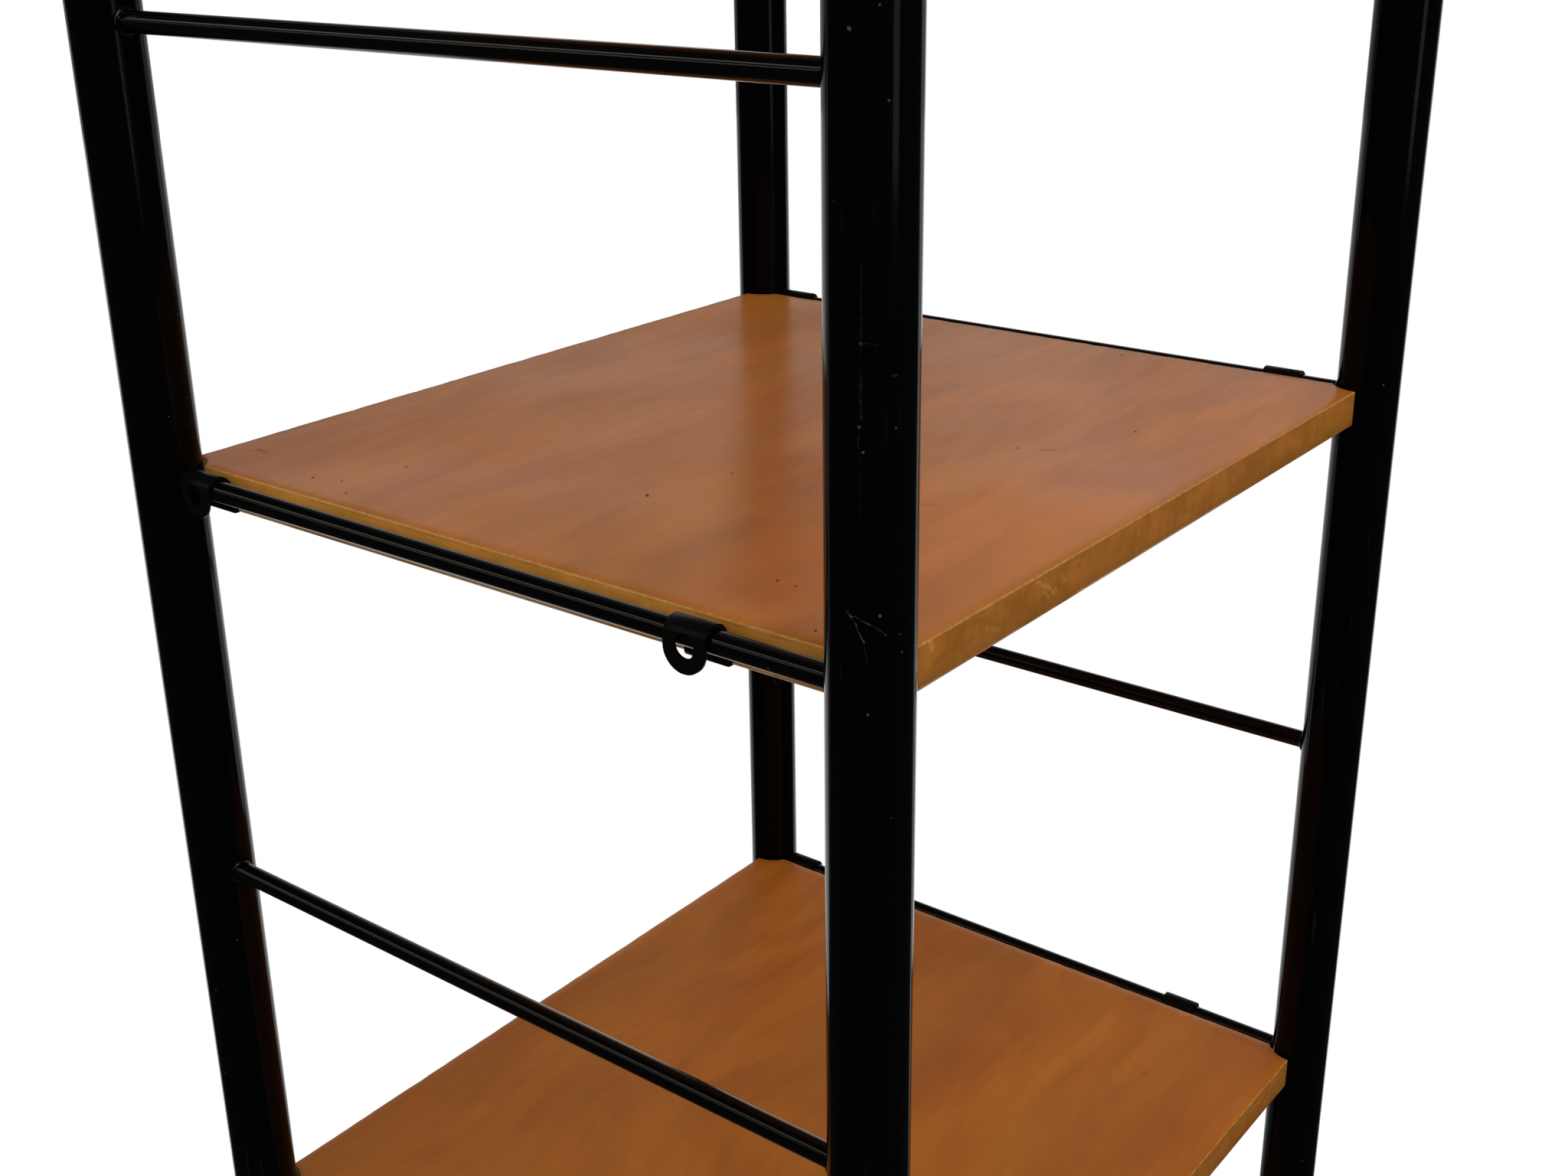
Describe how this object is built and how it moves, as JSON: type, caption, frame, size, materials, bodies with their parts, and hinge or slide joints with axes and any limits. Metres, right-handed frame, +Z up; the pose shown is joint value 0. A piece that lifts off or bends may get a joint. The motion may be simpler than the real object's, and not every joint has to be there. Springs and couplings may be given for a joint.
{
  "type": "modular wall bookcase",
  "caption": "Tall narrow open bookcase bay: two black steel ladder frames with veneered boards hung on the rungs by strap clips, each board lifting off.",
  "frame": {"origin": "on the floor, in the middle of the four posts", "axes": "+Z up, -Y to the front, +X to the right as seen from the front"},
  "size_m": [0.482, 0.432, 2],
  "materials": {
    "post_enamel": "satin black enamel, worn, fine scratches",
    "rung_enamel": "glossy black enamel",
    "clip_black": "matt black",
    "screw_zinc": "zinc plated",
    "shelf_veneer": "red-brown veneer under satin lacquer, yellow-brown edges",
    "black_plastic": "moulded, fine texture"
  },
  "bodies": {
    "frames": {"post_front_left": "post_enamel", "post_back_left": "post_enamel", "post_front_right": "post_enamel", "post_back_right": "post_enamel", "left_rung_1": "rung_enamel", "left_rung_2": "rung_enamel", "left_rung_3": "rung_enamel", "left_rung_4": "rung_enamel", "left_rung_5": "rung_enamel", "left_rung_6": "rung_enamel", "left_rung_7": "rung_enamel", "left_rung_8": "rung_enamel", "left_rung_9": "rung_enamel", "right_rung_1": "rung_enamel", "right_rung_2": "rung_enamel", "right_rung_3": "rung_enamel", "right_rung_4": "rung_enamel", "right_rung_5": "rung_enamel", "right_rung_6": "rung_enamel", "right_rung_7": "rung_enamel", "right_rung_8": "rung_enamel", "right_rung_9": "rung_enamel", "cap_front_left": "black_plastic", "cap_back_left": "black_plastic", "cap_front_right": "black_plastic", "cap_back_right": "black_plastic", "glide_front_left": "black_plastic", "glide_back_left": "black_plastic", "glide_front_right": "black_plastic", "glide_back_right": "black_plastic"},
    "shelf_1": {"shelf_1_board": "shelf_veneer", "shelf_1_clip_front_left": "clip_black", "shelf_1_clip_back_left": "clip_black", "shelf_1_clip_front_right": "clip_black", "shelf_1_clip_back_right": "clip_black", "shelf_1_screws": "screw_zinc"},
    "shelf_2": {"shelf_2_board": "shelf_veneer", "shelf_2_clip_front_left": "clip_black", "shelf_2_clip_back_left": "clip_black", "shelf_2_clip_front_right": "clip_black", "shelf_2_clip_back_right": "clip_black", "shelf_2_screws": "screw_zinc"},
    "shelf_3": {"shelf_3_board": "shelf_veneer", "shelf_3_clip_front_left": "clip_black", "shelf_3_clip_back_left": "clip_black", "shelf_3_clip_front_right": "clip_black", "shelf_3_clip_back_right": "clip_black", "shelf_3_screws": "screw_zinc"},
    "shelf_4": {"shelf_4_board": "shelf_veneer", "shelf_4_clip_front_left": "clip_black", "shelf_4_clip_back_left": "clip_black", "shelf_4_clip_front_right": "clip_black", "shelf_4_clip_back_right": "clip_black", "shelf_4_screws": "screw_zinc"},
    "shelf_5": {"shelf_5_board": "shelf_veneer", "shelf_5_clip_front_left": "clip_black", "shelf_5_clip_back_left": "clip_black", "shelf_5_clip_front_right": "clip_black", "shelf_5_clip_back_right": "clip_black", "shelf_5_screws": "screw_zinc"}
  },
  "joints": [
    {"name": "shelf_1_lift", "type": "slide", "parent": "frames", "child": "shelf_1", "axis": [0, 0, 1], "range_m": [0, 0.19]},
    {"name": "shelf_2_lift", "type": "slide", "parent": "frames", "child": "shelf_2", "axis": [0, 0, 1], "range_m": [0, 0.19]},
    {"name": "shelf_3_lift", "type": "slide", "parent": "frames", "child": "shelf_3", "axis": [0, 0, 1], "range_m": [0, 0.19]},
    {"name": "shelf_4_lift", "type": "slide", "parent": "frames", "child": "shelf_4", "axis": [0, 0, 1], "range_m": [0, 0.19]},
    {"name": "shelf_5_lift", "type": "slide", "parent": "frames", "child": "shelf_5", "axis": [0, 0, 1], "range_m": [0, 0.19]}
  ]
}
